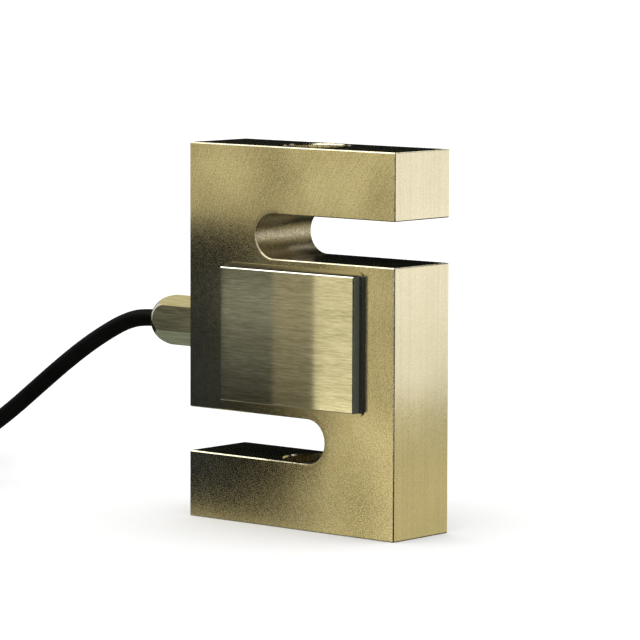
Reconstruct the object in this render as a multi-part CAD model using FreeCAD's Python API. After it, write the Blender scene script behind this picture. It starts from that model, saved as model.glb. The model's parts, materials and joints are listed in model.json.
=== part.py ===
"""S-type load cell: an S-shaped steel block with a threaded hole in each arm, strain gauges on a thin web
behind glued cover plates, and a cable that leaves through a hexagonal gland.

Frame: millimetres, +Z up. The origin is on the load axis, at the block's bottom face. The front is -Y.
The upper slot opens to +X and the lower slot to -X, where the gland is.
"""
import FreeCAD, Part
import math
import os

from FreeCAD import Vector

# ---- Driving dimensions ----

# S block
block_width = 76.2
block_thickness = 24.0
arm_height = 19.05
slot_height = 12.7
middle_height = 44.45
column_width = 25.4          # metal left behind the closed end of each slot
edge_chamfer = 0.3

# Threaded holes, 3/4-16: the wall is at the major diameter
thread_diameter = 19.05
thread_mouth_chamfer = 0.4

# Gauge pockets, one in each face, with the shear web between them
web_thickness = 5.0
pocket_width = 34.0
pocket_height = 27.0
pocket_corner = 5.0
web_hole_diameter = 4.0
web_hole_inset = 3.5         # from the pocket's right-hand wall to the hole's centre

# Cover plates on their bead of sealing compound
cover_width = 49.4
cover_height = 38.1
cover_thickness = 2.7
cover_chamfer = 0.25
cover_shift_x = 1.3
cover_shift_z = 0.2
gasket_thickness = 0.6
gasket_margin = 1.2          # how far the bead stands out round the plate
gasket_corner = 2.0
gasket_pocket_gap = 1.5      # from the pocket's edge to the bead's inner edge

# Strain gauges
gauge_width = 12.0
gauge_height = 8.0
gauge_backing = 0.12
foil_thickness = 0.06
foil_line = 0.28
foil_pitch = 0.6
foil_lines = 6
foil_length = 3.6
foil_spread = 5.4            # between the centres of the two grids
gauge_rise = 4.0             # above the pocket's middle
gauge_tab = 0.9

# Terminal boards
board_width = 22.0
board_height = 6.0
board_thickness = 0.8
board_floor_gap = 1.2        # from the pocket's lower wall
pad_pitch = 3.0
pad_count = 4
pad_width = 2.0
pad_length = 4.4
pad_height = 0.25
link_pad_pitch = 2.0         # between the two link pads, one above the other
link_pad_gap = 0.7

# Compensation resistors
resistor_diameter = 2.0
resistor_length = 5.6
resistor_lead = 0.5
resistor_lead_length = 2.2
resistor_gap = 0.7           # between neighbouring resistors
resistor_ceiling_gap = 1.6   # from the pocket's upper wall

# Internal wires
core_diameter = 1.0
core_pitch = 1.15
core_straight_start = 1.2    # a core leaves the jacket straight for this length
link_wire_diameter = 0.8
wire_bend_share = 0.15       # the part of the shorter run that each bend of a wire takes up
fine_sides = 8               # a fine wire and the O-ring have this many sides to their section

# Cable port
port_rise = 0.8              # above the block's middle
port_diameter = 9.6
passage_diameter = 5.4
passage_overrun = 1.0        # how far the passage is cut on into the open pocket

# Gland
gland_across_flats = 12.7
gland_length = 22.7
gland_dome_length = 5.8
gland_nose_diameter = 8.0
gland_dome_bulge = 0.62      # 0.5 is a plain cone, and 1 is a square shoulder
gland_turn = -9.6            # degrees, as the hexagon came to stand when tightened
gland_stub_length = 5.0
gland_stub_clearance = 0.03
o_ring_section = 1.0
o_ring_clearance = 0.03
washer_thickness = 0.8
bush_length = 4.0

# Cable
cable_diameter = 5.0
cable_clearance = 0.08
jacket_end_beyond_port = 1.2
bend_share = 0.45            # the part of the shorter run that each bend takes up

# Hank of the cable's spare length, lying on the floor in line with the block
hank_columns = 2
hank_layers = 6
hank_inner_bend = 15.0
hank_run = 90.0              # length of its straight runs, between the bends at its two ends
hank_run_out = 1.3           # length of the way in outside the hank
hank_sink = 0.2              # the way in stands this far proud of the hank's surface
wrap_sink = 0.4              # the last half turn, laid on top, nests this deep between the turns under it
wrap_start = 8.0             # where it starts to climb, and where it is on top, along the first run
wrap_on_top = 45.0
wrap_end = 12.0              # where the jacket ends, along the last run
wrap_inset = 0.5             # a climbing turn starts this far inside the hank's faces

# Tie round one side of the hank
tie_width = 4.8
tie_thickness = 0.9
tie_place = 66.0             # along the first run
tie_corner = 2.4
tie_head_width = 6.4
tie_head_height = 6.4
tie_head_depth = 4.2

# Stripped end
sleeve_diameter = 5.8
sleeve_length = 14.0
sleeve_overlap = 6.0         # onto the jacket
lead_diameter = 1.2
lead_circle = 1.5
tip_diameter = 0.7
tip_length = 5.0
drain_diameter = 1.0

# ---- Places worked out from them ----

half_width = block_width / 2
half_thickness = block_thickness / 2
lower_slot_floor = arm_height
middle_floor = lower_slot_floor + slot_height
upper_slot_floor = middle_floor + middle_height
upper_arm_floor = upper_slot_floor + slot_height
block_height = upper_arm_floor + arm_height
block_middle = block_height / 2
half_web = web_thickness / 2

pocket_right = pocket_width / 2
pocket_left = -pocket_right
pocket_bottom = block_middle - pocket_height / 2
pocket_top = block_middle + pocket_height / 2
cover_middle_z = block_middle + cover_shift_z

port_z = block_middle + port_rise
port_depth = gland_stub_length + bush_length + 2 * washer_thickness
port_floor_x = -half_width + port_depth
port_radius = port_diameter / 2
gland_end_x = -half_width - gland_length
stub_radius = port_radius - gland_stub_clearance
cable_radius = cable_diameter / 2
cable_hole_radius = cable_radius + cable_clearance
jacket_end_x = port_floor_x + jacket_end_beyond_port

board_bottom = pocket_bottom + board_floor_gap
board_middle_z = board_bottom + board_height / 2
board_face = half_web + board_thickness
pad_face = board_face + pad_height
core_lane_y = -(pad_face + core_diameter / 2)
link_lane_y = -(pad_face + link_wire_diameter / 2)
web_hole_x = pocket_right - web_hole_inset
first_pad_x = -board_width / 2 + pad_pitch / 2
link_pad_x = first_pad_x + pad_count * pad_pitch

hank_outer_bend = hank_inner_bend + (hank_columns - 1) * cable_diameter
hank_middle_bend = (hank_inner_bend + hank_outer_bend) / 2
hank_top = hank_layers * cable_diameter
hank_way_in = 2 * math.sqrt(hank_outer_bend * cable_radius) + hank_run_out
wrap_z = hank_top + cable_radius - wrap_sink

# The cable's free stretch: distance out from the gland's end, then y and z. The points are chosen by hand.
cable_route = [
    (0.0, 0.0, port_z),
    (6.6, 0.0, port_z),
    (13.1, 0.0, 53.2),
    (19.8, -0.2, 50.1),
    (28.9, -0.9, 44.8),
    (38.5, -2.1, 37.9),
    (47.5, -3.7, 30.6),
    (56.5, -5.7, 23.1),
    (66.0, -8.3, 16.0),
    (75.5, -11.2, 10.0),
    (85.5, -13.9, 5.4),
    (95.5, -15.0, cable_radius),
    (105.5, -15.0, cable_radius),
]
# The leads' fan on top of the hank: distance beyond the sleeve, and how far across each has gone by then.
lead_reach = [8.0, 18.0, 28.0]
lead_fall = [0.35, 1.0, 1.0]     # the part of the way down to the turns under them
lead_sweep = {
    "green": [-2.2, -3.4, -3.9],
    "white": [-1.1, -1.6, -2.1],
    "drain": [0.0, 0.1, 0.0],
    "black": [1.1, 1.6, 1.5],
    "red": [2.2, 3.3, 3.5],
}

# Where each lead stands in the sleeve, across and up from its middle.
lead_offsets = {"drain": (0.0, 0.0)}
for place, name in enumerate(["red", "green", "white", "black"]):
    angle = math.radians(45 + 90 * place)
    lead_offsets[name] = (lead_circle * math.cos(angle), lead_circle * math.sin(angle))

# The hank's first run lies on the cable's line, towards -X, and its last run comes back on the far side.
cable_end = cable_route[-1]
hank_right_x = gland_end_x - cable_end[0] - hank_way_in
hank_left_x = hank_right_x - hank_run
hank_y = cable_end[1] + hank_outer_bend
jacket_end = Vector(hank_left_x + wrap_end, hank_y + hank_middle_bend, wrap_z)

ALONG_X = Vector(1, 0, 0)
ALONG_Y = Vector(0, 1, 0)
ALONG_Z = Vector(0, 0, 1)


# ---- Helpers ----

def box(low, high):
    """A box between two opposite corners."""
    size = high - low
    return Part.makeBox(size.x, size.y, size.z, low)


def rounded_plate(width, height, corner, y_back, y_front, x_middle, z_middle):
    """A plate in the XZ plane, between two values of y, with its four corners rounded."""
    low = Vector(x_middle - width / 2, min(y_back, y_front), z_middle - height / 2)
    high = Vector(x_middle + width / 2, max(y_back, y_front), z_middle + height / 2)
    plate = box(low, high)
    corners = [edge for edge in plate.Edges if abs(edge.tangentAt(edge.FirstParameter).y) > 0.5]
    return plate.makeFillet(corner, corners)


def bend_radius(before, corner, after, share):
    """The radius of the bend at one point of a route, and its half turn."""
    half_turn = (corner - before).getAngle(after - corner) / 2
    shorter = min((corner - before).Length, (after - corner).Length)
    return share * shorter / math.tan(half_turn), half_turn


def route_wire(points, share):
    """Straight runs through the points, joined by tangent arcs."""
    edges = []
    start = points[0]
    for before, corner, after in zip(points, points[1:], points[2:]):
        radius, half_turn = bend_radius(before, corner, after, share)
        setback = radius * math.tan(half_turn)
        inward = (before - corner).normalize()
        onward = (after - corner).normalize()
        arc_start = corner + inward * setback
        arc_end = corner + onward * setback
        towards_centre = (inward + onward).normalize()
        arc_middle = corner + towards_centre * (radius / math.cos(half_turn) - radius)
        edges.append(Part.LineSegment(start, arc_start).toShape())
        edges.append(Part.Arc(arc_start, arc_middle, arc_end).toShape())
        start = arc_end
    edges.append(Part.LineSegment(start, points[-1]).toShape())
    return Part.Wire(edges)


def tube(points, diameter, share):
    """A solid round cable along a route."""
    section = Part.Wire(Part.makeCircle(diameter / 2, points[0], points[1] - points[0]))
    return route_wire(points, share).makePipeShell([section], True, False)


def fine_section(diameter, centre, normal):
    """The many-sided section of a fine wire or ring, square to a normal that isn't upright."""
    across = normal.cross(ALONG_Z).normalize() * (diameter / 2)
    up = Vector(ALONG_Z) * (diameter / 2)
    corners = []
    for number in range(fine_sides + 1):
        angle = math.radians(360 / fine_sides) * (number + 0.5)
        corners.append(centre + across * math.cos(angle) + up * math.sin(angle))
    return Part.makePolygon(corners)


def fine_wire(points, diameter, share):
    """A solid fine wire along a route that starts level."""
    section = fine_section(diameter, points[0], points[1] - points[0])
    return route_wire(points, share).makePipeShell([section], True, False)


def to_rear(shape):
    """The same piece on the rear side."""
    return shape.mirror(Vector(0, 0, 0), ALONG_Y)


def group(shapes):
    """Separate solids that share one node."""
    return Part.makeCompound(shapes)


# ---- Block ----

def slot_cutter(floor_z, end_x, mouth_x):
    """A slot with a round closed end at end_x, run out past its mouth."""
    radius = slot_height / 2
    direction = math.copysign(1, mouth_x - end_x)
    centre_x = end_x + direction * radius
    low_x, high_x = sorted((centre_x, mouth_x + direction * radius))
    straight = box(
        Vector(low_x, -block_thickness, floor_z), Vector(high_x, block_thickness, floor_z + slot_height))
    round_end = Part.makeCylinder(
        radius, 2 * block_thickness, Vector(centre_x, -block_thickness, floor_z + radius), ALONG_Y)
    return straight.fuse(round_end).removeSplitter()


def broken_edges(block):
    """The block's outside edges: all round the front and rear faces, and down its two sides."""
    tolerance = 0.001
    chosen = []
    for edge in block.Edges:
        ends = [vertex.Point for vertex in edge.Vertexes]
        on_one_face = all(abs(abs(point.y) - half_thickness) < tolerance for point in ends)
        crosses = abs(ends[0].y - ends[-1].y) > tolerance
        on_side = all(abs(abs(point.x) - half_width) < tolerance for point in ends)
        if (on_one_face and not crosses) or (crosses and on_side):
            chosen.append(edge)
    return chosen


def threaded_hole_cutter(low_z, high_z):
    """A hole through one arm with a chamfer at each mouth."""
    radius = thread_diameter / 2
    wide = radius + thread_mouth_chamfer
    profile = Part.makePolygon([
        Vector(0, 0, low_z), Vector(wide, 0, low_z), Vector(radius, 0, low_z + thread_mouth_chamfer),
        Vector(radius, 0, high_z - thread_mouth_chamfer), Vector(wide, 0, high_z), Vector(0, 0, high_z),
        Vector(0, 0, low_z)])
    return Part.Face(profile).revolve(Vector(0, 0, 0), ALONG_Z, 360)


def port_cutter():
    """The stepped port for the gland, with a countersunk seat for its O-ring."""
    mouth = o_ring_section / 2 * (2 + math.sqrt(2)) + o_ring_clearance
    profile = Part.makePolygon([
        Vector(-half_width, 0, port_z), Vector(-half_width, 0, port_z + port_radius + mouth),
        Vector(-half_width + mouth, 0, port_z + port_radius), Vector(port_floor_x, 0, port_z + port_radius),
        Vector(port_floor_x, 0, port_z), Vector(-half_width, 0, port_z)])
    return Part.Face(profile).revolve(Vector(0, 0, port_z), ALONG_X, 360)


def passage_cutter():
    """The slanting hole from the bottom of the port into the front gauge pocket."""
    start = Vector(port_floor_x, 0, port_z)
    turn = Vector(jacket_end_x + core_straight_start, 0, port_z)
    end = Vector(pocket_left, core_lane_y, port_z)
    direction = (end - turn).normalize()
    mouth = Part.makeCylinder(passage_diameter / 2, turn.x - start.x, start, ALONG_X)
    knee = Part.makeSphere(passage_diameter / 2, turn)
    slant = Part.makeCylinder(passage_diameter / 2, (end - turn).Length + passage_overrun, turn, direction)
    return mouth.fuse([knee, slant])


def make_body():
    block = box(Vector(-half_width, -half_thickness, 0), Vector(half_width, half_thickness, block_height))
    block = block.cut(slot_cutter(upper_slot_floor, column_width - half_width, half_width))
    block = block.cut(slot_cutter(lower_slot_floor, half_width - column_width, -half_width))
    block = block.makeChamfer(edge_chamfer, broken_edges(block))
    front_pocket = rounded_plate(
        pocket_width, pocket_height, pocket_corner, -half_web, -block_thickness, 0, block_middle)
    web_hole = Part.makeCylinder(
        web_hole_diameter / 2, 2 * web_thickness, Vector(web_hole_x, -web_thickness, board_middle_z), ALONG_Y)
    cutters = [
        front_pocket, to_rear(front_pocket), web_hole, port_cutter(), passage_cutter(),
        threaded_hole_cutter(0, arm_height), threaded_hole_cutter(upper_arm_floor, block_height)]
    return block.cut(cutters)


# ---- Covers ----

def make_cover():
    """A flat plate with its front edges broken."""
    y_seat = -half_thickness - gasket_thickness
    y_front = y_seat - cover_thickness
    middle = Vector(cover_shift_x, 0, cover_middle_z)
    low = middle + Vector(-cover_width / 2, y_front, -cover_height / 2)
    high = middle + Vector(cover_width / 2, y_seat, cover_height / 2)
    plate = box(low, high)
    front_face = min(plate.Faces, key=lambda face: face.CenterOfMass.y)
    return plate.makeChamfer(cover_chamfer, front_face.Edges)


def make_gasket():
    """The bead of sealing compound that the cover sits on, open over the gauge pocket."""
    y_front = -half_thickness - gasket_thickness
    outside = rounded_plate(
        cover_width + 2 * gasket_margin, cover_height + 2 * gasket_margin, gasket_corner,
        -half_thickness, y_front, cover_shift_x, cover_middle_z)
    opening = rounded_plate(
        pocket_width + 2 * gasket_pocket_gap, pocket_height + 2 * gasket_pocket_gap,
        pocket_corner + gasket_pocket_gap, 0, -block_thickness, 0, block_middle)
    return outside.cut(opening)


# ---- Strain gauges and their boards ----

def make_gauge_backing():
    low = Vector(-gauge_width / 2, -half_web - gauge_backing, block_middle + gauge_rise - gauge_height / 2)
    high = Vector(gauge_width / 2, -half_web, block_middle + gauge_rise + gauge_height / 2)
    return box(low, high)


def foil_grid(slope):
    """One meander of foil, turned by slope degrees about its own middle."""
    y_front = -half_web - gauge_backing - foil_thickness
    y_back = y_front + foil_thickness
    first = -(foil_lines - 1) * foil_pitch / 2
    strips = []
    for line in range(foil_lines):
        x = first + line * foil_pitch
        strips.append(box(
            Vector(x - foil_line / 2, y_front, -foil_length / 2),
            Vector(x + foil_line / 2, y_back, foil_length / 2)))
        if line < foil_lines - 1:
            z = foil_length / 2 if line % 2 == 0 else -foil_length / 2
            strips.append(box(
                Vector(x - foil_line / 2, y_front, z - foil_line / 2),
                Vector(x + foil_pitch + foil_line / 2, y_back, z + foil_line / 2)))
    for x in (first, -first):
        strips.append(box(
            Vector(x - gauge_tab / 2, y_front, -foil_length / 2 - gauge_tab),
            Vector(x + gauge_tab / 2, y_back, -foil_length / 2)))
    grid = strips[0].multiFuse(strips[1:]).removeSplitter()
    grid.rotate(Vector(0, 0, 0), ALONG_Y, slope)
    return grid


def make_gauge_foil():
    """Two grids at right angles, at 45 degrees to the load axis, where shear strains them most."""
    grids = []
    for side in (-1, 1):
        grid = foil_grid(-45 * side)
        grid.translate(Vector(side * foil_spread / 2, 0, block_middle + gauge_rise))
        grids.append(grid)
    return group(grids)


def make_board():
    low = Vector(-board_width / 2, -board_face, board_bottom)
    high = Vector(board_width / 2, -half_web, board_bottom + board_height)
    return box(low, high)


def make_pads():
    """Copper pads on the terminal board: one for each core, then two for the link wires."""
    pads = []
    for number in range(pad_count):
        x = first_pad_x + number * pad_pitch
        pads.append(box(
            Vector(x - pad_width / 2, -pad_face, board_middle_z - pad_length / 2),
            Vector(x + pad_width / 2, -board_face, board_middle_z + pad_length / 2)))
    for side in (-1, 1):
        z = board_middle_z + side * link_pad_pitch / 2
        half_height = (link_pad_pitch - link_pad_gap) / 2
        pads.append(box(
            Vector(link_pad_x - pad_width / 2, -pad_face, z - half_height),
            Vector(link_pad_x + pad_width / 2, -board_face, z + half_height)))
    return group(pads)


def make_resistor(number):
    """An axial resistor, glued to the web above the gauge."""
    radius = resistor_diameter / 2
    end = resistor_length / 2
    tip = end + resistor_lead_length
    pitch = resistor_length + 2 * resistor_lead_length + resistor_gap
    centre = Vector((number - 1) * pitch, -half_web - radius, pocket_top - resistor_ceiling_gap - radius)
    outline = [
        (-tip, 0), (-tip, resistor_lead / 2), (-end, resistor_lead / 2), (-end, radius),
        (end, radius), (end, resistor_lead / 2), (tip, resistor_lead / 2), (tip, 0), (-tip, 0)]
    profile = Part.makePolygon([centre + Vector(x, 0, r) for x, r in outline])
    return Part.Face(profile).revolve(centre, ALONG_X, 360)


def make_core(number):
    """One insulated core, from the end of the jacket to where it lies on its pad on the front board."""
    height = port_z + (number - (pad_count - 1) / 2) * core_pitch
    pad_x = first_pad_x + number * pad_pitch
    return fine_wire([
        Vector(jacket_end_x, 0, height),
        Vector(jacket_end_x + core_straight_start, 0, height),
        Vector(pocket_left, core_lane_y, height),
        Vector(pad_x, core_lane_y, height),
        Vector(pad_x, core_lane_y, board_middle_z)], core_diameter, wire_bend_share)


def make_link_wire(side):
    """One wire from the front board, through the hole in the web, to the rear board."""
    height = board_middle_z + side * link_pad_pitch / 2
    return fine_wire([
        Vector(link_pad_x, link_lane_y, height),
        Vector(web_hole_x, link_lane_y, height),
        Vector(web_hole_x, -link_lane_y, height),
        Vector(link_pad_x, -link_lane_y, height)], link_wire_diameter, wire_bend_share)


# ---- Gland ----

def make_gland_nut():
    """A hexagonal gland nut with a domed nose and a threaded stub that screws into the port."""
    corner_radius = gland_across_flats / math.sqrt(3)
    corners = []
    for number in range(7):
        angle = math.radians(60 * number + gland_turn)
        corners.append(Vector(
            -half_width, -corner_radius * math.sin(angle), port_z + corner_radius * math.cos(angle)))
    hexagon = Part.Face(Part.makePolygon(corners)).extrude(Vector(-gland_length, 0, 0))
    nose_radius = gland_nose_diameter / 2
    dome_x = gland_end_x + gland_dome_length
    bulge = Vector(
        gland_end_x + gland_dome_length * (1 - gland_dome_bulge), 0,
        port_z + nose_radius + (corner_radius - nose_radius) * gland_dome_bulge)
    shoulder = Vector(dome_x, 0, port_z + corner_radius)
    nose = Vector(gland_end_x, 0, port_z + nose_radius)
    outline = Part.Wire([
        Part.makeLine(Vector(-half_width, 0, port_z), Vector(-half_width, 0, port_z + corner_radius)),
        Part.makeLine(Vector(-half_width, 0, port_z + corner_radius), shoulder),
        Part.Arc(shoulder, bulge, nose).toShape(),
        Part.makeLine(nose, Vector(gland_end_x, 0, port_z)),
        Part.makeLine(Vector(gland_end_x, 0, port_z), Vector(-half_width, 0, port_z))])
    dome = Part.Face(outline).revolve(Vector(0, 0, port_z), ALONG_X, 360)
    stub = Part.makeCylinder(stub_radius, gland_stub_length, Vector(-half_width, 0, port_z), ALONG_X)
    hole = Part.makeCylinder(
        cable_hole_radius, gland_length + gland_stub_length, Vector(gland_end_x, 0, port_z), ALONG_X)
    return hexagon.common(dome).fuse(stub).cut(hole)


def make_o_ring():
    """The O-ring that the hexagon squeezes into the port's countersunk mouth."""
    radius = o_ring_section / 2
    centre = Vector(-half_width + radius, 0, port_z + stub_radius + radius + o_ring_clearance)
    section = Part.Face(fine_section(o_ring_section, centre, ALONG_Y))
    return section.revolve(Vector(0, 0, port_z), ALONG_X, 360)


def port_ring(start_x, length, hole_radius):
    """A ring that fills the port round the cable."""
    ring = Part.makeCylinder(stub_radius, length, Vector(start_x, 0, port_z), ALONG_X)
    return ring.cut(Part.makeCylinder(hole_radius, length, Vector(start_x, 0, port_z), ALONG_X))


# ---- Cable ----

def cable_points():
    return [Vector(gland_end_x - out, y, z) for out, y, z in cable_route]


def make_cable_inlet():
    """The length of cable inside the gland and the port."""
    length = jacket_end_x - gland_end_x
    return Part.makeCylinder(cable_radius, length, Vector(gland_end_x, 0, port_z), ALONG_X)


def race_track(bend, low_z, high_z):
    """A solid with two straight sides and two round ends, as wide as a turn of this bend."""
    low = Vector(hank_left_x, hank_y - bend, low_z)
    high = Vector(hank_right_x, hank_y + bend, high_z)
    ends = []
    for x in (hank_left_x, hank_right_x):
        ends.append(Part.makeCylinder(bend, high_z - low_z, Vector(x, hank_y, low_z), ALONG_Z))
    return box(low, high).multiFuse(ends).removeSplitter()


def make_wrap():
    """The cable's last half turn: it climbs onto the first run, goes round the far end, and starts back."""
    first_y = hank_y - hank_middle_bend
    start = Vector(hank_right_x - wrap_start, hank_y - hank_outer_bend, hank_top - cable_radius)
    start += Vector(0, wrap_inset, -wrap_inset)
    knee = Vector(hank_right_x - wrap_on_top, first_y, wrap_z)
    climb = Part.makeCylinder(cable_radius, (knee - start).Length, start, knee - start)
    run = Part.makeCylinder(cable_radius, knee.x - hank_left_x, knee, -ALONG_X)
    section = Part.makeCircle(cable_radius, Vector(hank_left_x, first_y, wrap_z), ALONG_X)
    bend = Part.Face(Part.Wire(section)).revolve(Vector(hank_left_x, hank_y, wrap_z), -ALONG_Z, 180)
    last = Part.makeCylinder(cable_radius, wrap_end, jacket_end, -ALONG_X)
    return climb.multiFuse([Part.makeSphere(cable_radius, knee), run, bend, last])


def make_hank():
    """The folded cable's outer shape, with its way in, its last half turn, and seats for strap and sleeve."""
    turns = race_track(hank_outer_bend + cable_radius - hank_sink, hank_sink, hank_top - hank_sink)
    turns = turns.cut(race_track(hank_inner_bend - cable_radius + hank_sink, 0, hank_top))
    turns = turns.cut([make_tie_strap(), sleeve_outside()])
    way_in = Part.makeCylinder(
        cable_radius, hank_way_in, Vector(hank_right_x, hank_y - hank_outer_bend, cable_radius), ALONG_X)
    return turns.multiFuse([way_in, make_wrap()])


def rounded_bar(low, high, corner):
    """A bar along X between two opposite corners, with its long edges rounded."""
    bar = box(low, high)
    edges = [edge for edge in bar.Edges if abs(edge.tangentAt(edge.FirstParameter).x) > 0.5]
    return bar.makeFillet(corner, edges)


def make_tie_strap():
    """The strap round the first run and the turn on top of it."""
    low = Vector(hank_right_x - tie_place, hank_y - hank_outer_bend - cable_radius, tie_thickness)
    high = Vector(low.x + tie_width, hank_y - hank_inner_bend + cable_radius, wrap_z + cable_radius)
    margin = Vector(0, tie_thickness, tie_thickness)
    inside = rounded_bar(low, high, tie_corner)
    return rounded_bar(low - margin, high + margin, tie_corner + tie_thickness).cut(inside)


def make_tie():
    """The strap and its head, which stands in the middle of the hank."""
    wall_y = hank_y - hank_inner_bend + cable_radius
    middle = Vector(hank_right_x - tie_place + tie_width / 2, wall_y, hank_top / 2)
    head = box(
        middle - Vector(tie_head_width / 2, 0, tie_head_height / 2),
        middle + Vector(tie_head_width / 2, tie_head_depth, tie_head_height / 2))
    return make_tie_strap().fuse(head)


def sleeve_outside():
    """The sleeve without its bore: it starts back on the jacket and runs on past the jacket's end."""
    start = jacket_end - ALONG_X * sleeve_overlap
    return Part.makeCylinder(sleeve_diameter / 2, sleeve_length, start, ALONG_X)


def make_sleeve():
    """The heat-shrunk sleeve over the end of the jacket."""
    bore = Part.makeCylinder(cable_radius, sleeve_length, jacket_end - ALONG_X * sleeve_overlap, ALONG_X)
    return sleeve_outside().cut(bore)


def lead_points(name):
    """A lead's route: straight through the sleeve, then down and out along the top of the hank."""
    diameter = drain_diameter if name == "drain" else lead_diameter
    across, up = lead_offsets[name]
    mouth = sleeve_length - sleeve_overlap
    start = jacket_end + Vector(0, across, up)
    points = [start, start + ALONG_X * mouth]
    resting_z = hank_top + diameter / 2
    for reach, aside, fall in zip(lead_reach, lead_sweep[name], lead_fall):
        height = start.z + (resting_z - start.z) * fall
        points.append(Vector(jacket_end.x + mouth + reach, jacket_end.y + aside, height))
    return points


def make_lead_tips():
    """The tinned ends of the four insulated leads."""
    tips = []
    for name in lead_offsets:
        if name != "drain":
            before, last = lead_points(name)[-2:]
            onward = (last - before).normalize()
            tips.append(Part.Face(fine_section(tip_diameter, last, onward)).extrude(onward * tip_length))
    return group(tips)


# ---- All pieces ----

def front_pieces():
    """The pieces that the front and the rear side both have."""
    return {
        "cover": make_cover(),
        "cover_gasket": make_gasket(),
        "gauge_backing": make_gauge_backing(),
        "gauge_foil": make_gauge_foil(),
        "terminal_board": make_board(),
        "solder_pads": make_pads(),
    }


def all_pieces():
    pieces = {"body": make_body()}
    for name, shape in front_pieces().items():
        pieces["front_" + name] = shape
        pieces["rear_" + name] = to_rear(shape)
    for number, name in enumerate(["zero_balance", "span", "temperature"]):
        pieces[name + "_resistor"] = make_resistor(number)
    for number, colour in enumerate(["red", "black", "green", "white"]):
        pieces["core_" + colour] = make_core(number)
    pieces["link_wire_lower"] = make_link_wire(-1)
    pieces["link_wire_upper"] = make_link_wire(1)

    stub_end = -half_width + gland_stub_length
    bush_start = stub_end + washer_thickness
    pieces["gland_nut"] = make_gland_nut()
    pieces["gland_o_ring"] = make_o_ring()
    bush_end = bush_start + bush_length
    pieces["gland_outer_washer"] = port_ring(stub_end, washer_thickness, cable_hole_radius)
    pieces["gland_bush"] = port_ring(bush_start, bush_length, cable_radius)
    pieces["gland_inner_washer"] = port_ring(bush_end, washer_thickness, cable_hole_radius)

    pieces["cable_inlet"] = make_cable_inlet()
    pieces["cable"] = tube(cable_points(), cable_diameter, bend_share)
    pieces["cable_hank"] = make_hank()
    pieces["cable_tie"] = make_tie()
    pieces["cable_sleeve"] = make_sleeve()
    for name in lead_offsets:
        diameter = drain_diameter if name == "drain" else lead_diameter
        pieces["lead_" + name] = fine_wire(lead_points(name), diameter, bend_share)
    pieces["lead_tips"] = make_lead_tips()
    return pieces


def print_bends(name, points, diameter):
    """The bend radii along a free cable or lead, in diameters, and its length."""
    radii = []
    for before, corner, after in zip(points, points[1:], points[2:]):
        radii.append(bend_radius(before, corner, after, bend_share)[0] / diameter)
    length = route_wire(points, bend_share).Length
    print(name, f"length {length:.1f}, bends in diameters:", " ".join(f"{radius:.1f}" for radius in radii))


pieces = all_pieces()
os.makedirs("parts", exist_ok=True)
for node, shape in pieces.items():
    shape.exportStep(f"parts/{node}.step")
print_bends("cable", cable_points(), cable_diameter)
for name in lead_offsets:
    print_bends("lead_" + name, lead_points(name), lead_diameter)
cable_run = math.pi * cable_radius ** 2 * route_wire(cable_points(), bend_share).Length
print(f"cable's volume against its section times its length: {pieces['cable'].Volume / cable_run:.5f}")
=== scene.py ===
"""The look of the S-type load cell: its metals, cable, threads, floor and studio light.

Everything is in metres, in the CAD's frame. The front face is towards -Y, and the cable leaves towards -X.
"""
import json
import math

import bpy
from mathutils import Matrix, Vector


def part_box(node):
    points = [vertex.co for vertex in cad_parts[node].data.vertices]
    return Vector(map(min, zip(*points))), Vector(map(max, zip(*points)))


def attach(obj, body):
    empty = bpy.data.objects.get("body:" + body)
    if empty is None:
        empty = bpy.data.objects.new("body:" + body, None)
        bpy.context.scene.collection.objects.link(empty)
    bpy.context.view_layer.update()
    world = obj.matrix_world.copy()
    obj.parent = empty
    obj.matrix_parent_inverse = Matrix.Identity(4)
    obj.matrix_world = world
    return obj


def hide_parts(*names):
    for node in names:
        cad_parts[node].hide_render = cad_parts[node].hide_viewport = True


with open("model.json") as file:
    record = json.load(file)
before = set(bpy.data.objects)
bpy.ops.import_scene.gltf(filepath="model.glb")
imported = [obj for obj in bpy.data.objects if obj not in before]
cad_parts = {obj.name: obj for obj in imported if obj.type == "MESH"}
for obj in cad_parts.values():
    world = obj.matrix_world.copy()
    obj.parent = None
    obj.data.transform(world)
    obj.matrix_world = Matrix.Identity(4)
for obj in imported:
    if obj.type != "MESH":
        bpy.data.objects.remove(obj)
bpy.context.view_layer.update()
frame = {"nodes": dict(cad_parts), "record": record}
nodes = frame["nodes"]

# ---- Sizes and places ----

MM = 0.001
BLOCK_HIGH = Vector(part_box("body")[1])
GLAND_LOW = Vector(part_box("gland_nut")[0])
COVER_LOW, COVER_HIGH = (Vector(corner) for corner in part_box("front_cover"))
COVER_CHAMFER = 0.25 * MM
COVER_SIDE_Y = -COVER_LOW.y - COVER_CHAMFER
ARM_HEIGHT = 19.05 * MM
SLOT_HEIGHT = 12.7 * MM
# From the block's middle to the centres of the slots' round ends.
SLOT_CENTRE_X = 6.35 * MM
SLOT_CENTRE_Z = BLOCK_HIGH.z / 2 - ARM_HEIGHT - SLOT_HEIGHT / 2

# The threads' ridges. Each hole stays plain for the margin at its ends, and half of a ridge's root is this
# share of the pitch.
THREAD_RADIUS = 19.05 / 2 * MM
THREAD_PITCH = 25.4 / 16 * MM
THREAD_DEPTH = 0.8 * MM
THREAD_MARGIN = 0.9 * MM
THREAD_HALF_ROOT = 0.47
THREAD_STEPS = 48

CABLE_DIAMETER = 5.0 * MM
CABLE_RADIUS = CABLE_DIAMETER / 2
CABLE_FINENESS = 6
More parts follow.
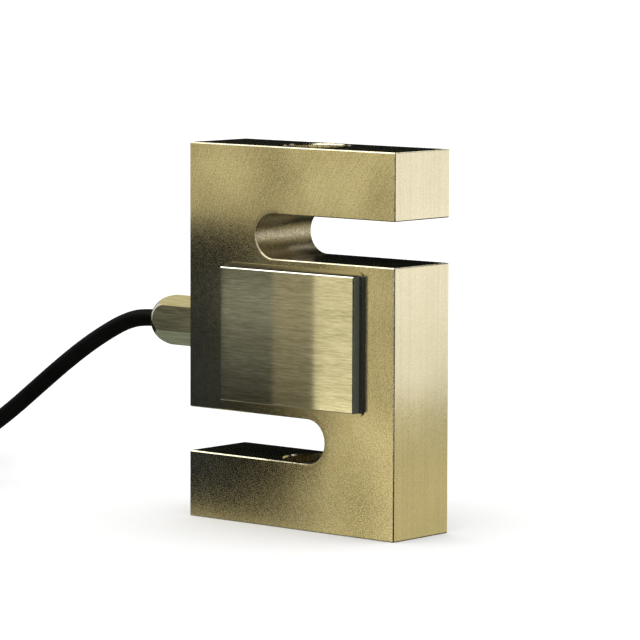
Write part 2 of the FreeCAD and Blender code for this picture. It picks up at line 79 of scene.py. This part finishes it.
# The cable's free route: distance out from the gland's end, then y and z, in millimetres.
CABLE_ROUTE = [
    (0.0, 0.0, 54.775),
    (6.6, 0.0, 54.775),
    (13.1, 0.0, 53.2),
    (19.8, -0.2, 50.1),
    (28.9, -0.9, 44.8),
    (38.5, -2.1, 37.9),
    (47.5, -3.7, 30.6),
    (56.5, -5.7, 23.1),
    (66.0, -8.3, 16.0),
    (75.5, -11.2, 10.0),
    (85.5, -13.9, 5.4),
    (95.5, -15.0, 2.5),
    (105.5, -15.0, 2.5),
]
# The hank of spare cable: the radii of its bends, its straight runs, and the turn from one control point of
# a bend to the next. The cable lies straight for the run-out's length before it meets the hank.
HANK_LAYERS = 6
HANK_INNER_BEND = 15.0 * MM
HANK_OUTER_BEND = 20.0 * MM
HANK_RUN = 90.0 * MM
HANK_RUN_OUT = 1.3 * MM
HANK_STEP = math.radians(30)
# The last half turn nests this deep between the turns under it, and ends this far along its last run.
WRAP_SINK = 0.4 * MM
WRAP_END = 12.0 * MM

CAMERA_PLACE = (0.72981, -0.85254, 0.17380)
CAMERA_AZIMUTH = math.radians(40.529)
CAMERA_ELEVATION = math.radians(5.8695)
CAMERA_ROLL = math.radians(0.177)
CAMERA_LENS = 223.93
CAMERA_SENSOR = 36.0


# ---- Small helpers ----

def deselect():
    """Nothing selected and nothing active, so that the next operator acts on its own piece."""
    bpy.ops.object.select_all(action="DESELECT")
    bpy.context.view_layer.objects.active = None


def adopt(piece, name, material):
    """Name a new piece, let it ride on the part, and give it its finish."""
    piece.name = name
    piece.data.name = name
    piece.data.materials.clear()
    piece.data.materials.append(material)
    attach(piece, "root")


def settle():
    """Move the active object's place into its mesh."""
    bpy.ops.object.transform_apply(location=True, rotation=True, scale=True)


# ---- Camera ----

def make_camera():
    """A long lens, a little above the cell, turned towards its front and right faces."""
    camera = bpy.data.objects.new("camera", bpy.data.cameras.new("camera"))
    bpy.context.scene.collection.objects.link(camera)
    camera.data.sensor_width = CAMERA_SENSOR
    camera.data.lens = CAMERA_LENS
    camera.data.clip_start = 0.01
    camera.data.clip_end = 100.0
    camera.matrix_world = (
        Matrix.Translation(CAMERA_PLACE)
        @ Matrix.Rotation(CAMERA_AZIMUTH, 4, "Z")
        @ Matrix.Rotation(math.radians(90) - CAMERA_ELEVATION, 4, "X")
        @ Matrix.Rotation(CAMERA_ROLL, 4, "Z"))
    bpy.context.scene.camera = camera


# ---- Materials ----

class Nodes:
    """A short way to lay out one material's nodes."""

    def __init__(self, name):
        self.material = bpy.data.materials.new(name)
        self.material.use_nodes = True
        self.tree = self.material.node_tree
        self.shader = self.tree.nodes["Principled BSDF"]
        self.place = self.add("ShaderNodeTexCoord").outputs["Object"]

    def add(self, kind, **settings):
        """A node with its own settings."""
        node = self.tree.nodes.new(kind)
        for name, value in settings.items():
            setattr(node, name, value)
        return node

    def link(self, out, into):
        """Join an output to an input."""
        self.tree.links.new(out, into)

    def axes(self):
        """The Object coordinates one by one, as outputs named X, Y and Z."""
        split = self.add("ShaderNodeSeparateXYZ")
        self.link(self.place, split.inputs["Vector"])
        return split.outputs

    def distance(self, where, centre):
        """How far a place is from a centre."""
        away = self.add("ShaderNodeVectorMath", operation="DISTANCE")
        self.link(where, away.inputs[0])
        away.inputs[1].default_value = centre
        return away.outputs["Value"]

    def stretched(self, scale, where):
        """A place, scaled along each axis."""
        mapping = self.add("ShaderNodeMapping")
        mapping.inputs["Scale"].default_value = scale
        self.link(where, mapping.inputs["Vector"])
        return mapping.outputs["Vector"]

    def noise(self, scale, detail, where=None, roughness=0.55):
        """Cloudy noise on the Object coordinates, or on another place."""
        node = self.add("ShaderNodeTexNoise")
        node.inputs["Scale"].default_value = scale
        node.inputs["Detail"].default_value = detail
        node.inputs["Roughness"].default_value = roughness
        self.link(self.place if where is None else where, node.inputs["Vector"])
        return node.outputs["Fac"]

    def streaks(self, scale, detail, roughness):
        """Noise with its own scale along each axis."""
        return self.noise(1.0, detail, self.stretched(scale, self.place), roughness)

    def rings(self, centre, scale, faintest):
        """Fine uneven rings round a point, as a surface grinder's cup wheel leaves them."""
        radius = self.add("ShaderNodeCombineXYZ")
        self.link(self.distance(self.place, centre), radius.inputs["X"])
        fine = self.noise(1.0, 2.0, self.stretched((scale, 1.0, 1.0), radius.outputs["Vector"]), 0.6)
        broken = self.noise(60.0, 2.0)
        return self.math("MULTIPLY", fine, self.ramp(broken, 0.35, 0.65, faintest, 1.0))

    def ramp(self, value, low, high, start, end):
        """Map a value between two limits onto a range."""
        node = self.add("ShaderNodeMapRange")
        self.link(value, node.inputs["Value"])
        for name, number in (("From Min", low), ("From Max", high), ("To Min", start), ("To Max", end)):
            node.inputs[name].default_value = number
        return node.outputs["Result"]

    def between(self, factor, first, second):
        """Between two numbers, by a factor."""
        return self.ramp(factor, 0.0, 1.0, first, second)

    def spread(self, pattern, half_width=0.15):
        """The middle of a pattern's range, spread from nought to one."""
        return self.ramp(pattern, 0.5 - half_width, 0.5 + half_width, 0.0, 1.0)

    def blend(self, factor, first, second):
        """Between two colours, by a factor."""
        node = self.add("ShaderNodeMix", data_type="RGBA")
        self.link(factor, node.inputs["Factor"])
        for socket, colour in ((node.inputs["A"], first), (node.inputs["B"], second)):
            if isinstance(colour, tuple):
                socket.default_value = colour + (1.0,)
            else:
                self.link(colour, socket)
        return node.outputs["Result"]

    def math(self, operation, first, second=0.0):
        """One sum on two values, each a number or an output."""
        node = self.add("ShaderNodeMath", operation=operation)
        for socket, value in ((node.inputs[0], first), (node.inputs[1], second)):
            if isinstance(value, (int, float)):
                socket.default_value = value
            else:
                self.link(value, socket)
        return node.outputs[0]

    def bump(self, height, distance, strength, under=None):
        """Relief of a height and a strength, on top of another relief if one is given."""
        node = self.add("ShaderNodeBump")
        node.inputs["Strength"].default_value = strength
        node.inputs["Distance"].default_value = distance
        self.link(height, node.inputs["Height"])
        if under is not None:
            self.link(under, node.inputs["Normal"])
        return node.outputs["Normal"]

    def set(self, **values):
        """Constant values straight on the shader's sockets."""
        for name, value in values.items():
            self.shader.inputs[name.replace("_", " ")].default_value = value

    def drive(self, **outputs):
        """Values that vary over the surface, linked into the shader's sockets."""
        for name, output in outputs.items():
            self.link(output, self.shader.inputs[name.replace("_", " ")])


# A pattern's scale is about how many of its grains or lines go into one metre, in all directions or along
# each axis.
STEEL_LOW = (0.585, 0.53, 0.36)
STEEL_HIGH = (0.655, 0.60, 0.42)
STEEL_CLOUD = 30.0
STEEL_PATCH = 520.0
ARC_LIGHT = (0.84, 0.79, 0.60)
ARC_CENTRE = (0.085, 0.0, 0.058)
ARC_SCALE = 1700.0
GRAIN_DARK = (0.30, 0.255, 0.16)
GRAIN_LIGHT = (0.88, 0.83, 0.63)
GRAIN_SCALE = 4400.0
MARK_DARK = (0.20, 0.17, 0.10)
MARK_SCALE = (14.0, 1500.0, 14.0)
# The slots' round walls: a duller cut finish, partly painted shade in the recesses.
WALL_FINISH_AND_SHADE = (0.23, 0.19, 0.12)
BRUSHED_DARK = (0.60, 0.58, 0.45)
BRUSHED_LIGHT = (1.0, 0.98, 0.87)
BRUSHED_SCALE = (230.0, 230.0, 3000.0)
DRIFT_SCALE = (30.0, 30.0, 900.0)
# A dark painted shade for the plate's cut sides.
COVER_SIDE_PAINTED_SHADE = (0.070, 0.082, 0.062)
DRAWN_DARK = (0.52, 0.50, 0.38)
DRAWN_LIGHT = (0.86, 0.82, 0.64)
DRAWN_SCALE = (120.0, 2400.0, 2400.0)
# The compound's near-black: its own colour, and partly painted shade beside the plate.
COMPOUND_AND_SHADE_DARK = (0.012, 0.013, 0.010)
COMPOUND_AND_SHADE_LIGHT = (0.022, 0.024, 0.018)
COMPOUND_OVER_STEEL = (0.56, 0.51, 0.35)
COMPOUND_SCALE = 1400.0
METAL_CLOUD = 180.0
METAL_FINE = 2400.0
MOULDED_CLOUD = 90.0
MOULDED_SKIN = 900.0


def slot_wall(n, where):
    """One on the slots' round closed ends, fading to nought 2 mm out on the faces round them: where the
    steel is rougher and where shade is painted.
    """
    flat = n.add("ShaderNodeCombineXYZ")
    n.link(where["X"], flat.inputs["X"])
    n.link(where["Z"], flat.inputs["Z"])
    nearness = []
    for side in (-1, 1):
        centre = (side * SLOT_CENTRE_X, 0.0, BLOCK_HIGH.z / 2 - side * SLOT_CENTRE_Z)
        nearness.append(n.distance(flat.outputs["Vector"], centre))
    nearest = n.math("MINIMUM", *nearness)
    return n.ramp(nearest, SLOT_HEIGHT / 2 + 0.1 * MM, SLOT_HEIGHT / 2 + 2.0 * MM, 1.0, 0.0)


def body_metal():
    """Ground and plated steel: satin, warm, finely grained, with the grinder's arcs and the cutter's marks,
    and painted shade in the slots.

    The cutter's marks follow one another along Y, so they are lines in the slots and on the right face, and
    only a broad cloud on the front. On the right face grain and marks are faint, and there are no arcs.
    """
    n = Nodes("body_metal")
    n.set(Metallic=1.0)
    where = n.axes()
    right = n.ramp(where["X"], BLOCK_HIGH.x - 0.08 * MM, BLOCK_HIGH.x - 0.02 * MM, 0.0, 1.0)

    def on_right(share):
        """A share on the right face, and one everywhere else."""
        return n.between(right, 1.0, share)

    wall = slot_wall(n, where)
    cloud = n.noise(STEEL_CLOUD, 3.0)
    patch = n.noise(STEEL_PATCH, 2.0)
    grain = n.noise(GRAIN_SCALE, 1.0, roughness=0.6)
    arcs = n.math("MULTIPLY", n.rings(ARC_CENTRE, ARC_SCALE, 0.7), on_right(0.0))
    marks = n.streaks(MARK_SCALE, 2.0, 0.6)

    # The colour, from the broadest tone to the finest grain.
    tone = n.blend(n.spread(cloud), STEEL_LOW, STEEL_HIGH)
    lined = n.blend(n.ramp(arcs, 0.40, 0.48, 0.0, 0.55), tone, ARC_LIGHT)
    # Darker on the slots' round walls and 2 mm round them: partly a duller cut finish, partly painted shade
    # in the recesses and round their rims.
    wall_shaded = n.blend(n.math("MULTIPLY", wall, 0.85), lined, WALL_FINISH_AND_SHADE)
    cut = n.math("MULTIPLY", n.ramp(marks, 0.40, 0.56, 0.85, 0.0), on_right(0.12))
    worked = n.blend(cut, wall_shaded, MARK_DARK)
    dark_part = n.math("MULTIPLY", n.ramp(grain, 0.34, 0.5, 0.75, 0.0), on_right(0.3))
    light_part = n.math("MULTIPLY", n.ramp(grain, 0.5, 0.66, 0.0, 0.75), on_right(0.3))
    grained = n.blend(light_part, n.blend(dark_part, worked, GRAIN_DARK), GRAIN_LIGHT)

    # The roughness and the relief.
    satin = n.math("ADD", n.ramp(patch, 0.3, 0.7, 0.155, 0.180), n.ramp(grain, 0.35, 0.65, -0.05, 0.05))
    roughness = n.math("MAXIMUM", satin, n.math("MULTIPLY", wall, 0.36))
    ground = n.bump(grain, 0.009 * MM, 0.6)
    relief = n.bump(n.math("MULTIPLY", marks, on_right(0.15)), 0.04 * MM, 0.7, ground)
    n.drive(Base_Color=grained, Roughness=roughness, Normal=relief)
    return n.material


def cover_metal():
    """Stainless plate brushed along its width, its cut sides given a dark painted shade and a dull finish.
    """
    n = Nodes("cover_metal")
    n.set(Anisotropic=1.0)
    brushing = n.streaks(BRUSHED_SCALE, 3.0, 0.7)
    drift = n.streaks(DRIFT_SCALE, 2.0, 0.6)
    shade = n.math("ADD", n.math("MULTIPLY", brushing, 0.75), n.math("MULTIPLY", drift, 0.25))
    face = n.blend(n.spread(shade, 0.14), BRUSHED_DARK, BRUSHED_LIGHT)
    from_middle = n.math("ABSOLUTE", n.axes()["Y"])
    bright = n.ramp(from_middle, COVER_SIDE_Y - 0.02 * MM, COVER_SIDE_Y, 0.0, 1.0)
    dull = n.between(bright, 0.5, 0.0)
    # A tangent along Z draws reflections out across the brushing.
    tangent = n.add("ShaderNodeCombineXYZ")
    tangent.inputs["Z"].default_value = 1.0
    # On the cut sides, a dark painted shade in place of brushed metal.
    n.drive(
        Base_Color=n.blend(bright, COVER_SIDE_PAINTED_SHADE, face),
        Metallic=bright,
        Roughness=n.math("MAXIMUM", dull, n.ramp(drift, 0.3, 0.7, 0.095, 0.110)),
        Tangent=tangent.outputs["Vector"])
    return n.material


def gland_metal():
    """Drawn bar for the gland nut: fine lines along its length."""
    n = Nodes("gland_metal")
    n.set(Metallic=1.0)
    drawn = n.streaks(DRAWN_SCALE, 3.0, 0.6)
    n.drive(
        Base_Color=n.blend(n.spread(drawn, 0.18), DRAWN_DARK, DRAWN_LIGHT),
        Roughness=n.ramp(drawn, 0.3, 0.7, 0.18, 0.22),
        Normal=n.bump(drawn, 0.003 * MM, 0.4))
    return n.material


def sealant():
    """Dark compound round the plate, whose near-black beside the plate's sides is partly painted shade;
    above and below it is wiped down to a skin over the steel.
    """
    n = Nodes("sealant")
    skin = n.noise(COMPOUND_SCALE, 3.0)
    height = n.axes()["Z"]
    above = n.ramp(height, COVER_HIGH.z, COVER_HIGH.z + 0.15 * MM, 0.0, 1.0)
    below = n.ramp(height, COVER_LOW.z - 0.15 * MM, COVER_LOW.z, 1.0, 0.0)
    wiped = n.math("MAXIMUM", above, below)
    # Near-black beside the plate's sides: the compound's colour, partly painted shade at the plate's edge.
    compound_and_shade = n.blend(n.spread(skin), COMPOUND_AND_SHADE_DARK, COMPOUND_AND_SHADE_LIGHT)
    rough = n.between(wiped, 0.5, 0.18)
    n.drive(
        Base_Color=n.blend(wiped, compound_and_shade, COMPOUND_OVER_STEEL),
        Metallic=wiped,
        Roughness=n.math("ADD", rough, n.ramp(skin, 0.3, 0.7, -0.02, 0.02)),
        Normal=n.bump(skin, 0.008 * MM, 0.5))
    return n.material


def plain_metal(name, dark, light, low, high):
    """Turned or drawn metal with a slight cloudiness, between two colours and two roughnesses."""
    n = Nodes(name)
    n.set(Metallic=1.0)
    cloud = n.noise(METAL_CLOUD, 4.0)
    fine = n.noise(METAL_FINE, 2.0)
    n.drive(
        Base_Color=n.blend(n.spread(cloud), dark, light),
        Roughness=n.ramp(fine, 0.35, 0.65, low, high),
        Normal=n.bump(fine, 0.006 * MM, 0.4))
    return n.material


def moulded(name, dark, light, low, high, shine=0.5):
    """Plastic, rubber or varnish with a fine skin, between two colours and two roughnesses."""
    n = Nodes(name)
    n.set(Specular_IOR_Level=shine)
    skin = n.noise(MOULDED_SKIN, 3.0)
    cloud = n.noise(MOULDED_CLOUD, 3.0)
    n.drive(
        Base_Color=n.blend(n.spread(cloud), dark, light),
        Roughness=n.ramp(skin, 0.3, 0.7, low, high),
        Normal=n.bump(skin, 0.02 * MM, 0.5))
    return n.material


# Each finish: its darkest and lightest colour, and its lowest and highest roughness.
PLAIN_METALS = {
    "washer_metal": ((0.52, 0.52, 0.50), (0.62, 0.62, 0.60), 0.3, 0.4),
    "tinned_wire": ((0.62, 0.62, 0.61), (0.74, 0.74, 0.73), 0.25, 0.4),
    "gauge_foil": ((0.52, 0.40, 0.30), (0.62, 0.48, 0.37), 0.3, 0.4),
    "copper": ((0.70, 0.40, 0.26), (0.80, 0.52, 0.36), 0.3, 0.45),
}
MOULDED = {
    "seal_rubber": ((0.012, 0.012, 0.012), (0.02, 0.02, 0.02), 0.5, 0.7),
    "tie": ((0.012, 0.012, 0.012), (0.02, 0.02, 0.02), 0.35, 0.5),
    "sleeve": ((0.010, 0.010, 0.010), (0.018, 0.018, 0.018), 0.45, 0.6),
    "gauge_film": ((0.40, 0.20, 0.03), (0.50, 0.27, 0.05), 0.2, 0.3),
    "board": ((0.03, 0.12, 0.05), (0.04, 0.16, 0.07), 0.35, 0.5),
    "resistor": ((0.06, 0.16, 0.30), (0.08, 0.20, 0.36), 0.25, 0.35),
    "insulation_red": ((0.42, 0.012, 0.01), (0.52, 0.02, 0.015), 0.25, 0.35),
    "insulation_black": ((0.010, 0.010, 0.010), (0.018, 0.018, 0.018), 0.25, 0.35),
    "insulation_green": ((0.01, 0.16, 0.03), (0.02, 0.22, 0.05), 0.25, 0.35),
    "insulation_white": ((0.74, 0.74, 0.70), (0.82, 0.82, 0.78), 0.25, 0.35),
}
JACKET_DARK = (0.0012, 0.0012, 0.0012)
JACKET_LIGHT = (0.0025, 0.0025, 0.0025)


def make_materials():
    """One material for each of the record's slots."""
    made = {
        "body_metal": body_metal(),
        "cover_metal": cover_metal(),
        "gland_metal": gland_metal(),
        "sealant": sealant(),
        "jacket": moulded("jacket", JACKET_DARK, JACKET_LIGHT, 0.40, 0.52, shine=0.03),
    }
    for name, look in PLAIN_METALS.items():
        made[name] = plain_metal(name, *look)
    for name, look in MOULDED.items():
        made[name] = moulded(name, *look)
    return made


def dress_nodes(materials):
    """Give each CAD node the material of its slot."""
    for entry in frame["record"]["subparts"]:
        piece = nodes[entry["node"]]
        piece.data.materials.clear()
        piece.data.materials.append(materials[entry["material_slot"]])


# ---- Cable ----

def bend_points(centre, radius, first_angle):
    """Control points of a half turn, clockwise seen from above."""
    corner = radius / math.cos(HANK_STEP / 2)
    points = []
    for number in range(round(math.pi / HANK_STEP)):
        angle = first_angle - HANK_STEP * (number + 0.5)
        points.append(centre + Vector((corner * math.cos(angle), corner * math.sin(angle), 0)))
    return points


def run_points(start, end, step_from, step_to):
    """Control points of a straight run that steps over to the next place between two parts of its way."""
    before = start.lerp(end, step_from)
    after = start.lerp(end, step_to)
    before.yz = start.yz
    after.yz = end.yz
    return [before, (before + after) / 2, after]


def hank_points(right_x, middle_y):
    """Control points of the hank: two turns side by side in each layer, wound in, up, out and up again.

    A turn climbs on the first half of a near or far run, and steps sideways on the second half, so that it
    never runs into its neighbour. The last half turn lies on top.
    """
    left_x = right_x - HANK_RUN
    outer = HANK_OUTER_BEND
    inner = HANK_INNER_BEND
    middle = (outer + inner) / 2

    def run(far, start_bend, end_bend, start_z, end_z, late=False):
        """A straight run on the far or near side that steps from one bend's place to another's."""
        side = 1 if far else -1
        first_x, last_x = (left_x, right_x) if far else (right_x, left_x)
        start = Vector((first_x, middle_y + side * start_bend, start_z))
        end = Vector((last_x, middle_y + side * end_bend, end_z))
        margin = start_bend * math.tan(HANK_STEP / 2) / HANK_RUN
        step = (0.5, 1 - margin) if late else (margin, 0.5)
        points = run_points(start, end, *step)
        if late:
            points.insert(0, Vector((first_x + (last_x - first_x) * margin, start.y, start_z)))
        else:
            points.append(Vector((last_x - (last_x - first_x) * margin, end.y, end_z)))
        return points

    def bend(far, radius, z):
        """The half turn after a far or a near run."""
        centre = Vector((right_x if far else left_x, middle_y, z))
        return bend_points(centre, radius, math.radians(90 if far else -90))

    points = run(False, outer, outer, CABLE_RADIUS, CABLE_RADIUS)
    for layer in range(HANK_LAYERS):
        z = CABLE_RADIUS + layer * CABLE_DIAMETER
        if layer % 2 == 0:
            points += bend(False, outer, z)
            points += run(True, outer, inner, z, z, late=True)
            points += bend(True, inner, z)
            points += run(False, inner, inner, z, z)
            points += bend(False, inner, z)
            points += run(True, inner, inner, z, z + CABLE_DIAMETER)
            points += bend(True, inner, z + CABLE_DIAMETER)
        else:
            points += run(False, inner, outer, z, z, late=True)
            points += bend(False, outer, z)
            points += run(True, outer, outer, z, z)
            points += bend(True, outer, z)
            if layer < HANK_LAYERS - 1:
                points += run(False, outer, outer, z, z + CABLE_DIAMETER)
    top = z + CABLE_DIAMETER - WRAP_SINK
    points += run(False, outer, middle, z, top)
    points += bend(False, middle, top)
    end_y = middle_y + middle
    points.append(Vector((left_x + middle * math.tan(HANK_STEP / 2), end_y, top)))
    points.append(Vector((left_x + WRAP_END, end_y, top)))
    return points


def cable_line():
    """The whole cable's control points: its free route, then the hank."""
    free = [Vector((GLAND_LOW.x - out * MM, y * MM, z * MM)) for out, y, z in CABLE_ROUTE]
    last = free[-1]
    # Seen from above, the straight cable meets the hank's round end this far before that end's centre.
    meeting = 2 * math.sqrt(HANK_OUTER_BEND * CABLE_RADIUS)
    way_in = meeting + HANK_RUN_OUT
    return free + hank_points(last.x - way_in, last.y + HANK_OUTER_BEND)


def make_cable(materials):
    """One smooth curve for the cable's whole length."""
    points = cable_line()
    curve = bpy.data.curves.new("signal_cable", "CURVE")
    curve.dimensions = "3D"
    curve.bevel_depth = CABLE_RADIUS
    curve.bevel_resolution = CABLE_FINENESS
    curve.resolution_u = CABLE_FINENESS
    curve.use_fill_caps = True
    spline = curve.splines.new("NURBS")
    spline.points.add(len(points) - 1)
    for control, point in zip(spline.points, points):
        control.co = (*point, 1.0)
    spline.order_u = 3
    spline.use_endpoint_u = True
    cable = bpy.data.objects.new("signal_cable", curve)
    bpy.context.scene.collection.objects.link(cable)
    curve.materials.append(materials["jacket"])
    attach(cable, "root")
    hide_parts("cable", "cable_hank")


# ---- Threads ----

def make_thread(name, low_z, high_z, materials):
    """The helical ridge of a thread inside one hole: a small wedge, spun up the hole."""
    deselect()
    turns = (high_z - low_z - 2 * THREAD_MARGIN) / THREAD_PITCH
    bpy.ops.mesh.primitive_circle_add(
        vertices=3, radius=THREAD_DEPTH, location=(THREAD_RADIUS, 0, low_z + THREAD_MARGIN))
    ridge = bpy.context.object
    crest, upper, lower = ridge.data.vertices
    half_root = THREAD_PITCH * THREAD_HALF_ROOT
    crest.co = (-THREAD_DEPTH, 0, 0)
    upper.co = (0, 0, half_root)
    lower.co = (0, 0, -half_root)
    settle()
    screw = ridge.modifiers.new("screw", "SCREW")
    screw.axis = "Z"
    screw.screw_offset = THREAD_PITCH
    screw.iterations = int(turns)
    screw.steps = THREAD_STEPS
    screw.render_steps = THREAD_STEPS
    screw.use_smooth_shade = False
    bpy.ops.object.modifier_apply(modifier=screw.name)
    bpy.ops.object.mode_set(mode="EDIT")
    bpy.ops.mesh.select_all(action="SELECT")
    bpy.ops.mesh.normals_make_consistent(inside=False)
    bpy.ops.object.mode_set(mode="OBJECT")
    adopt(ridge, name, materials["body_metal"])


# ---- Floor and light ----

FLOOR_SIZE = 60.0
FLOOR_PALE = (0.86, 0.86, 0.86)
FLOOR_ROUGHNESS = 0.9
DOME_STRENGTH = 1.35
DOME_DARK = (0.004, 0.005, 0.0045)

WARM = (0.76, 0.68, 0.42)
PALE = (1.0, 0.985, 0.985)
COOL = (1.0, 0.99, 0.96)
OLIVE = (0.10, 0.105, 0.085)
COLD = (0.055, 0.075, 0.105)
GREEN = (0.92, 1.0, 0.80)
DUSK = (0.69, 0.67, 0.49)

# The cards before the front face: the large one, the low one laid on it, and the flags laid on both.
FRONT_CARD_Y = -0.112
LOW_CARD_Y = -0.111
FLAG_Y = -0.110
FRONT_LEFT = -0.26
FRONT_RIGHT = 0.02
FRONT_BOTTOM = -0.12
FRONT_TOP = 0.20
LOW_CARD_TOP = 0.022
FLAG_BOTTOM = -0.020
FLAG_TOP = 0.076
# The left flag ends where the left column of steps starts, and the middle column ends at the low card.
STEPS_LEFT = -0.108
STEPS_MIDDLE = -0.0864
STEPS_RIGHT = -0.0694
# Each pair of steps: bottom, top, and the strengths in the left and in the middle column.
FLAG_STEPS = [
    (-0.020, -0.005, 0.08, 0.50),
    (-0.005, 0.014, 0.01, 0.17),
    (0.014, 0.030, 0.065, 0.19),
    (0.030, 0.045, 0.17, 0.30),
    (0.045, 0.058, 0.38, 0.42),
    (0.058, 0.075, 0.12, 0.34),
]
# The other cards: name, lowest corner, highest corner, colour and strength.
CARDS = [
    ("gland_flag", (-0.125, -0.060, 0.052), (-0.085, -0.060, 0.080), OLIVE, 0.6),
    ("right_card", (0.188, 0.02, 0.01), (0.188, 0.40, 0.14), PALE, 1.36),
    ("right_low_card", (0.188, 0.02, -0.10), (0.188, 0.40, 0.01), WARM, 1.0),
    ("right_flag", (0.186, 0.195, -0.008), (0.186, 0.24, 0.016), OLIVE, 6.0),
    ("over_card", (-0.50, -0.30, 0.36), (0.10, 0.02, 0.36), COOL, 3.2),
    ("gland_card", (-0.135, 0.005, 0.100), (-0.055, 0.065, 0.100), WARM, 0.9),
    ("under_card", (-0.30, -0.10, -0.05), (0.0, 0.20, -0.05), GREEN, 0.24),
    ("rim_card", (0.40, -0.62, -0.05), (0.40, -0.345, 0.62), COOL, 2.2),
    ("far_card", (0.0, 0.26, 0.36), (0.12, 0.36, 0.36), COOL, 1.6),
    ("back_card", (-0.22, 0.45, 0.0), (0.60, 0.45, 0.30), WARM, 0.95),
    ("left_card", (-0.60, -0.45, 0.0), (-0.60, 0.30, 0.45), PALE, 0.7),
]


def floor_material():
    """Dull pale paint without a reflection."""
    material = bpy.data.materials.new("floor")
    material.use_nodes = True
    paint = material.node_tree.nodes["Principled BSDF"]
    paint.inputs["Base Color"].default_value = FLOOR_PALE + (1.0,)
    paint.inputs["Roughness"].default_value = FLOOR_ROUGHNESS
    paint.inputs["Specular IOR Level"].default_value = 0.0
    return material


def card_material(name, colour, strength):
    """An even light from the whole of a card."""
    material = bpy.data.materials.new(name)
    material.use_nodes = True
    tree = material.node_tree
    light = tree.nodes.new("ShaderNodeEmission")
    light.inputs["Color"].default_value = colour + (1.0,)
    light.inputs["Strength"].default_value = strength
    tree.links.new(light.outputs["Emission"], tree.nodes["Material Output"].inputs["Surface"])
    return material


def make_floor():
    """A plain pale floor that metal doesn't reflect."""
    deselect()
    bpy.ops.mesh.primitive_plane_add(size=FLOOR_SIZE, location=(0, 0, 0))
    floor = bpy.context.object
    floor.name = "floor"
    floor.data.materials.append(floor_material())
    floor.visible_glossy = False


def make_card(name, low, high, colour, strength):
    """A flat card between two opposite corners that share one coordinate. Only reflections see it."""
    low, high = Vector(low), Vector(high)
    size = high - low
    deselect()
    bpy.ops.mesh.primitive_plane_add(size=1.0, location=(low + high) / 2)
    card = bpy.context.object
    card.name = name
    if size.z == 0:
        card.scale = (size.x, size.y, 1.0)
    elif size.y == 0:
        card.scale = (size.x, size.z, 1.0)
        card.rotation_euler = (math.radians(90), 0, 0)
    else:
        card.scale = (size.z, size.y, 1.0)
        card.rotation_euler = (0, math.radians(90), 0)
    card.data.materials.append(card_material(name, colour, strength))
    card.visible_camera = False
    card.visible_diffuse = False
    card.visible_shadow = False
    card.visible_transmission = False


def make_front_cards():
    """The cards that the front face and the cover plate reflect."""
    def upright(name, y, left, right, bottom, top, colour, strength):
        """A card that stands across the front."""
        make_card(name, (left, y, bottom), (right, y, top), colour, strength)

    upright("front_card", FRONT_CARD_Y, FRONT_LEFT, FRONT_RIGHT, FRONT_BOTTOM, FRONT_TOP, WARM, 0.95)
    upright("front_low_card", LOW_CARD_Y, STEPS_RIGHT, FRONT_RIGHT, FRONT_BOTTOM, LOW_CARD_TOP, WARM, 1.33)
    upright("left_flag", FLAG_Y, FRONT_LEFT, STEPS_LEFT, FLAG_BOTTOM, FLAG_TOP, COLD, 0.3)
    for number, (bottom, top, left, middle) in enumerate(FLAG_STEPS):
        upright(f"left_step_{number}", FLAG_Y, STEPS_LEFT, STEPS_MIDDLE, bottom, top, DUSK, left)
        upright(f"middle_step_{number}", FLAG_Y, STEPS_MIDDLE, STEPS_RIGHT, bottom, top, WARM, middle)


def make_world():
    """White all round for the eye and for dull surfaces, and nearly black for what metal reflects."""
    world = bpy.data.worlds.new("studio")
    bpy.context.scene.world = world
    world.use_nodes = True
    tree = world.node_tree
    pale = tree.nodes["Background"]
    pale.inputs["Color"].default_value = (1.0, 1.0, 1.0, 1.0)
    pale.inputs["Strength"].default_value = DOME_STRENGTH
    dark = tree.nodes.new("ShaderNodeBackground")
    dark.inputs["Color"].default_value = DOME_DARK + (1.0,)
    dark.inputs["Strength"].default_value = 1.0
    ray = tree.nodes.new("ShaderNodeLightPath")
    mix = tree.nodes.new("ShaderNodeMixShader")
    tree.links.new(ray.outputs["Is Glossy Ray"], mix.inputs["Fac"])
    tree.links.new(pale.outputs["Background"], mix.inputs[1])
    tree.links.new(dark.outputs["Background"], mix.inputs[2])
    tree.links.new(mix.outputs["Shader"], tree.nodes["World Output"].inputs["Surface"])


def make_studio():
    """A pale floor and dome, and cards for the metal to reflect."""
    bpy.context.scene.view_settings.view_transform = "Standard"
    make_world()
    make_floor()
    make_front_cards()
    for card in CARDS:
        make_card(*card)


# ---- Build ----

materials = make_materials()
make_camera()
make_cable(materials)
dress_nodes(materials)
make_thread("lower_thread_ridge", 0.0, ARM_HEIGHT, materials)
make_thread("upper_thread_ridge", BLOCK_HIGH.z - ARM_HEIGHT, BLOCK_HIGH.z, materials)
make_studio()
